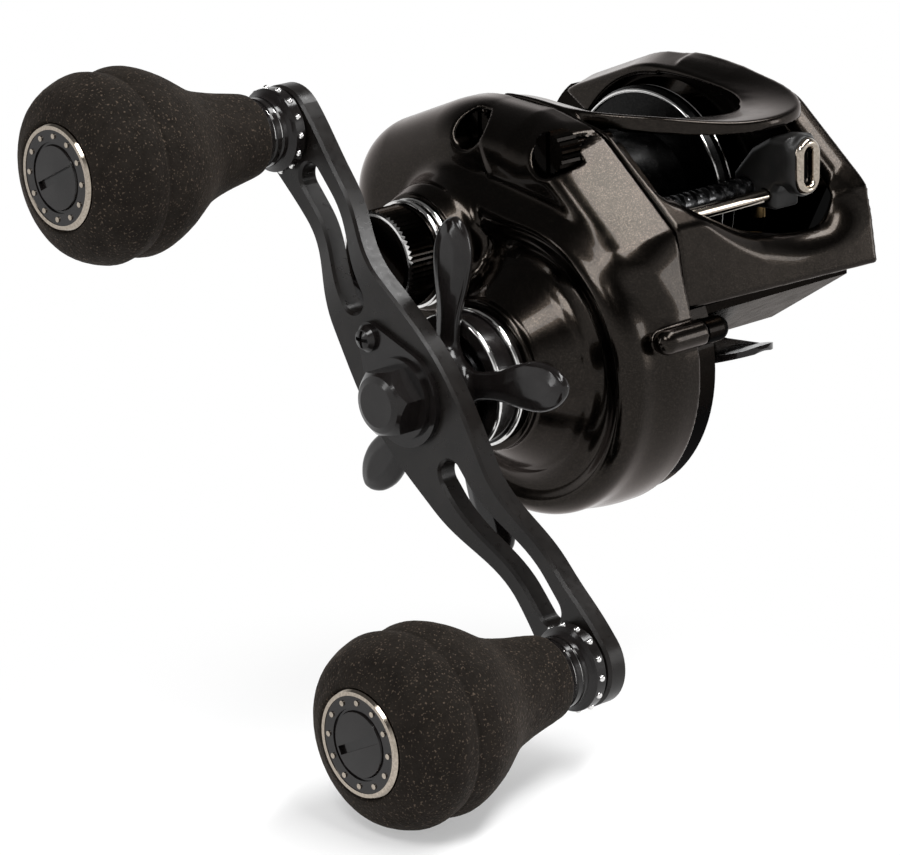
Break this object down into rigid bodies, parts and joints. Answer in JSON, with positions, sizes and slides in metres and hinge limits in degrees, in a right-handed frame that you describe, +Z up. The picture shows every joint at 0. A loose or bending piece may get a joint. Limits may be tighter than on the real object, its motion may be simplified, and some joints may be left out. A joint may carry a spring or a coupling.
{
  "type": "low-profile baitcasting reel",
  "caption": "Low-profile baitcasting fishing reel with a double handle, star drag, level-wind line guide, knurled cast control cap and foam knobs, on a rod-seat foot.",
  "frame": {"origin": "middle of the flat underside of the foot that sits on the rod", "axes": "+X out of the handle side, +Y the way the line leaves the reel, +Z up away from the rod"},
  "size_m": [0.1345, 0.0966, 0.1052],
  "materials": {
    "body_paint": "gloss",
    "body_dark": "gloss",
    "gloss_black": "gloss",
    "satin_black": "satin",
    "foam": "matte",
    "chrome_trim": "polished",
    "steel": "satin",
    "brass": "satin",
    "spool_alloy": "satin",
    "carbon": "matte",
    "black_plastic": "matte"
  },
  "bodies": {
    "frame": {"frame": "body_dark", "front_hood": "body_paint", "gear_side_cover": "body_paint", "palm_side_cover": "body_paint", "reel_foot": "gloss_black", "foot_screws": "steel", "cover_screws": "steel", "bearing_sleeve": "gloss_black", "trim_rings": "chrome_trim", "one_way_clutch": "steel", "bearings": "steel", "guide_rod": "chrome_trim", "worm_bushes": "black_plastic", "idler_pin": "steel", "brake_ring": "spool_alloy", "yoke_posts": "steel"},
    "drive": {"drive_shaft": "steel", "ratchet_wheel": "steel", "drive_gear": "brass", "carbon_washers": "carbon", "drag_discs": "steel", "drag_springs": "steel", "clutch_sleeve": "steel", "handle_arm": "satin_black", "nut_retainer": "gloss_black", "retainer_screw": "gloss_black", "handle_nut": "gloss_black", "knob_spindles": "steel"},
    "star": {"star_drag": "gloss_black", "star_nut": "brass"},
    "upper_knob": {"upper_grip": "foam", "upper_collar": "gloss_black", "upper_collar_trim": "chrome_trim", "upper_cap": "gloss_black", "upper_cap_trim": "chrome_trim"},
    "lower_knob": {"lower_grip": "foam", "lower_collar": "gloss_black", "lower_collar_trim": "chrome_trim", "lower_cap": "gloss_black", "lower_cap_trim": "chrome_trim"},
    "spool": {"spool": "spool_alloy", "spool_rims": "chrome_trim", "spool_shaft": "steel", "brake_rotor": "black_plastic"},
    "yoke": {"clutch_yoke": "black_plastic"},
    "pinion": {"pinion_gear": "brass"},
    "worm": {"worm_shaft": "steel", "worm_gear": "black_plastic"},
    "idler": {"idler_gear": "black_plastic"},
    "line_guide": {"line_guide": "black_plastic", "guide_ring": "chrome_trim", "pawl": "brass"},
    "cast_cap": {"cast_control_cap": "body_dark"},
    "thumb_bar": {"thumb_bar": "body_dark"},
    "brake_dial": {"brake_dial": "gloss_black"},
    "front_thumb_screw": {"front_thumb_screw": "body_dark"},
    "rear_thumb_screw": {"rear_thumb_screw": "body_dark"}
  },
  "joints": [
    {"name": "handle_spin", "type": "hinge", "parent": "frame", "child": "drive", "pos_m": [0, 0.0155, 0.0055], "axis": [1, 0, 0], "continuous": true},
    {"name": "star_turn", "type": "hinge", "parent": "drive", "child": "star", "pos_m": [0, 0.0155, 0.0055], "axis": [1, 0, 0], "range_deg": [-180, 540]},
    {"name": "upper_knob_spin", "type": "hinge", "parent": "drive", "child": "upper_knob", "pos_m": [0, -0.01766, 0.04292], "axis": [1, 0, 0], "continuous": true},
    {"name": "lower_knob_spin", "type": "hinge", "parent": "drive", "child": "lower_knob", "pos_m": [0, 0.04866, -0.03193], "axis": [1, 0, 0], "continuous": true},
    {"name": "spool_spin", "type": "hinge", "parent": "frame", "child": "spool", "pos_m": [0, -0.002, 0.0222], "axis": [1, 0, 0], "continuous": true},
    {"name": "yoke_shift", "type": "slide", "parent": "frame", "child": "yoke", "axis": [1, 0, 0], "range_m": [0, 0.0015]},
    {"name": "pinion_spin", "type": "hinge", "parent": "yoke", "child": "pinion", "pos_m": [0, -0.002, 0.0222], "axis": [1, 0, 0], "continuous": true},
    {"name": "idler_spin", "type": "hinge", "parent": "frame", "child": "idler", "pos_m": [0, 0.02033, 0.02096], "axis": [1, 0, 0], "continuous": true},
    {"name": "worm_spin", "type": "hinge", "parent": "frame", "child": "worm", "pos_m": [0, 0.0264, 0.0284], "axis": [1, 0, 0], "continuous": true},
    {"name": "line_guide_slide", "type": "slide", "parent": "frame", "child": "line_guide", "axis": [1, 0, 0], "range_m": [-0.0005, 0.019]},
    {"name": "cast_control_turn", "type": "hinge", "parent": "frame", "child": "cast_cap", "pos_m": [0, -0.002, 0.0222], "axis": [1, 0, 0], "range_deg": [-360, 360]},
    {"name": "thumb_bar_press", "type": "slide", "parent": "frame", "child": "thumb_bar", "axis": [0, 0, -1], "range_m": [0, 0.004]},
    {"name": "brake_dial_turn", "type": "hinge", "parent": "frame", "child": "brake_dial", "pos_m": [-0.031, -0.002, 0.0222], "axis": [-1, 0, 0], "range_deg": [0, 270]},
    {"name": "front_thumb_screw_turn", "type": "hinge", "parent": "frame", "child": "front_thumb_screw", "pos_m": [0.029, 0.0184, 0.0399], "axis": [1, 0, 0], "range_deg": [0, 720]},
    {"name": "rear_thumb_screw_turn", "type": "hinge", "parent": "frame", "child": "rear_thumb_screw", "pos_m": [0.029, -0.0003, 0.0409], "axis": [1, 0, 0], "range_deg": [0, 720]}
  ],
  "couplings": [
    {"joint": "spool_spin", "follows": "handle_spin", "ratio": -6.2222},
    {"joint": "pinion_spin", "follows": "handle_spin", "ratio": -6.2222},
    {"joint": "idler_spin", "follows": "handle_spin", "ratio": -1.7},
    {"joint": "worm_spin", "follows": "handle_spin", "ratio": 2.8333},
    {"joint": "yoke_shift", "follows": "thumb_bar_press", "ratio": 0.375}
  ]
}
